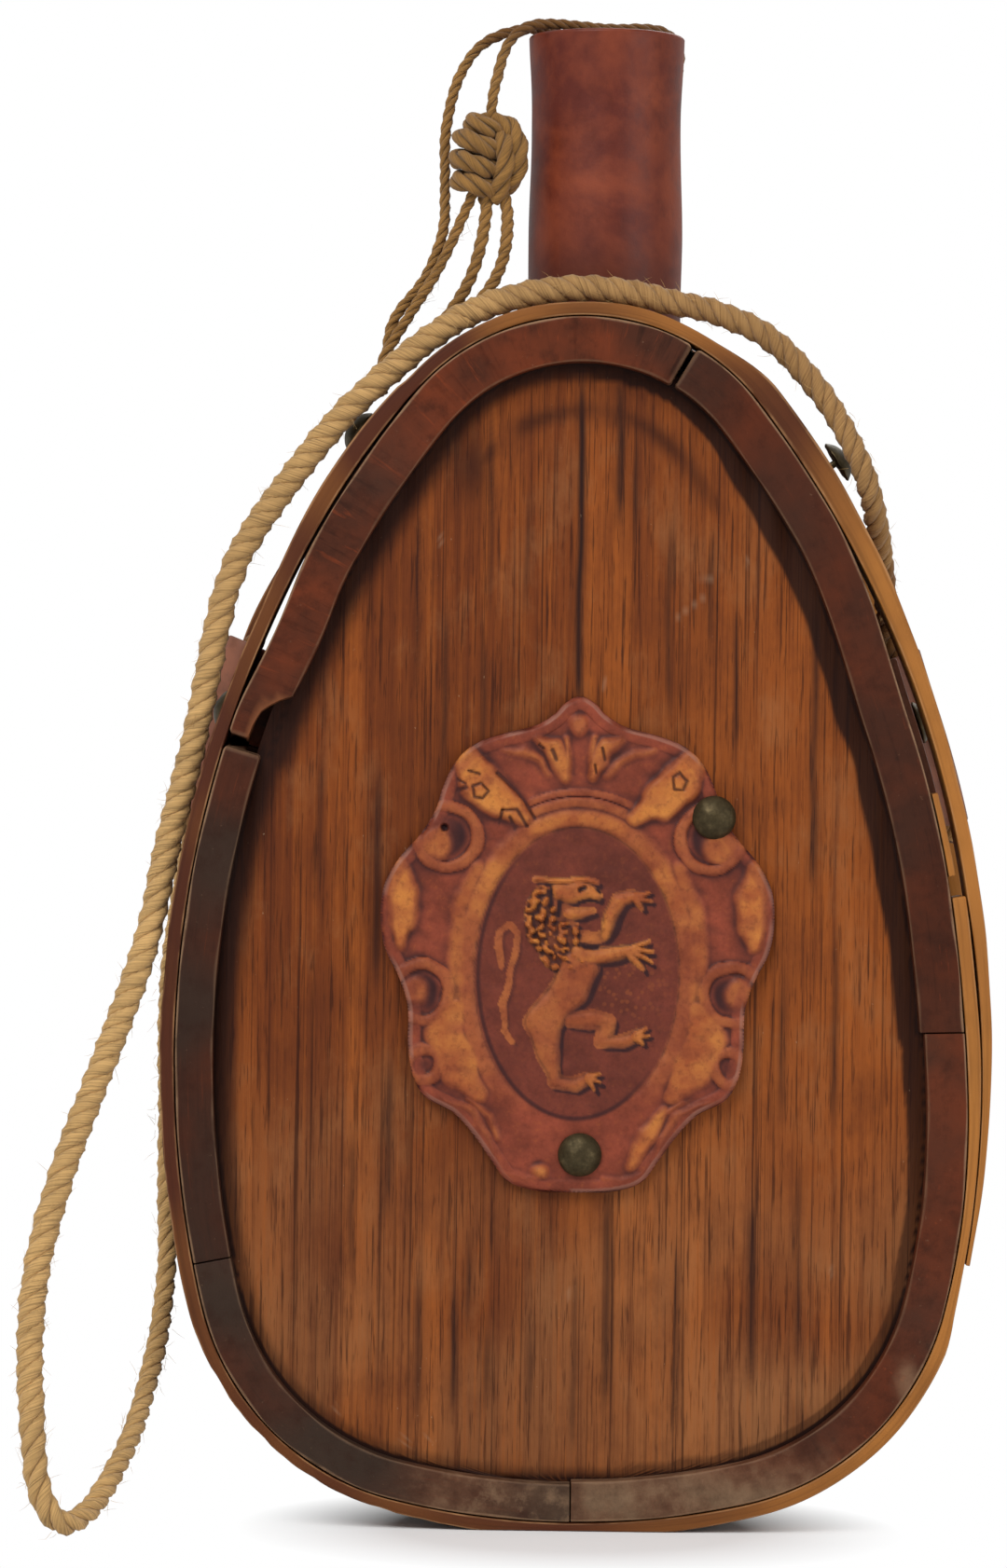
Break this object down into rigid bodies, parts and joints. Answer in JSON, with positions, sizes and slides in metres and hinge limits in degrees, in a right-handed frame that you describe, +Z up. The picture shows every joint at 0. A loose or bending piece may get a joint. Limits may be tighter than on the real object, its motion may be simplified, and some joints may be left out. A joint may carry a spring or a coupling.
{
  "type": "wooden canteen",
  "caption": "Egg-shaped flat coopered wooden canteen with lapped hoops, a leather-sleeved neck and stopper, a leather crest, tacks, and a rope sling with a twine tie.",
  "frame": {"origin": "middle of the planed foot that the canteen stands on, level with the floor", "axes": "+Z up along the neck, +X to the right seen from the front, +Y to the back; the crest faces -Y"},
  "size_m": [0.2247, 0.1023, 0.3556],
  "materials": {
    "rim_wood": "dark stained, worn and scuffed",
    "head_wood": "open-grained, oiled",
    "hoop_wood": "bent strip, worn varnish",
    "spout_wood": "turned",
    "stopper_cork": "rough",
    "neck_leather": "smooth, mottled",
    "crest_leather": "embossed, antiqued",
    "keeper_leather": "smooth",
    "tack_brass": "antique",
    "rope_sisal": "laid fibre",
    "twine_jute": "laid fibre"
  },
  "bodies": {
    "canteen": {"stave_crown": "rim_wood", "stave_upper_right": "rim_wood", "stave_lower_right": "rim_wood", "stave_lower_left": "rim_wood", "stave_upper_left": "rim_wood", "head_front": "head_wood", "head_back": "head_wood", "hoop_front": "hoop_wood", "hoop_back": "hoop_wood", "hoop_packing": "hoop_wood", "spout": "spout_wood", "neck_sleeve": "neck_leather", "crest": "crest_leather", "crest_tack_upper": "tack_brass", "crest_tack_lower": "tack_brass", "shoulder_tack_left": "tack_brass", "shoulder_tack_right": "tack_brass", "keeper_tack_left_front": "tack_brass", "keeper_tack_left_back": "tack_brass", "keeper_tack_right_front": "tack_brass", "keeper_tack_right_back": "tack_brass", "keeper_left": "keeper_leather", "keeper_right": "keeper_leather", "rope_sling": "rope_sisal", "twine_tie": "twine_jute", "twine_leg": "twine_jute", "twine_tail_long": "twine_jute", "twine_tail_short": "twine_jute", "twine_knot": "twine_jute"},
    "stopper": {"stopper": "stopper_cork"}
  },
  "joints": [
    {"name": "stopper_pull", "type": "slide", "parent": "canteen", "child": "stopper", "axis": [0, 0, 1], "range_m": [0, 0.045], "deforming": ["twine_tie"]}
  ]
}
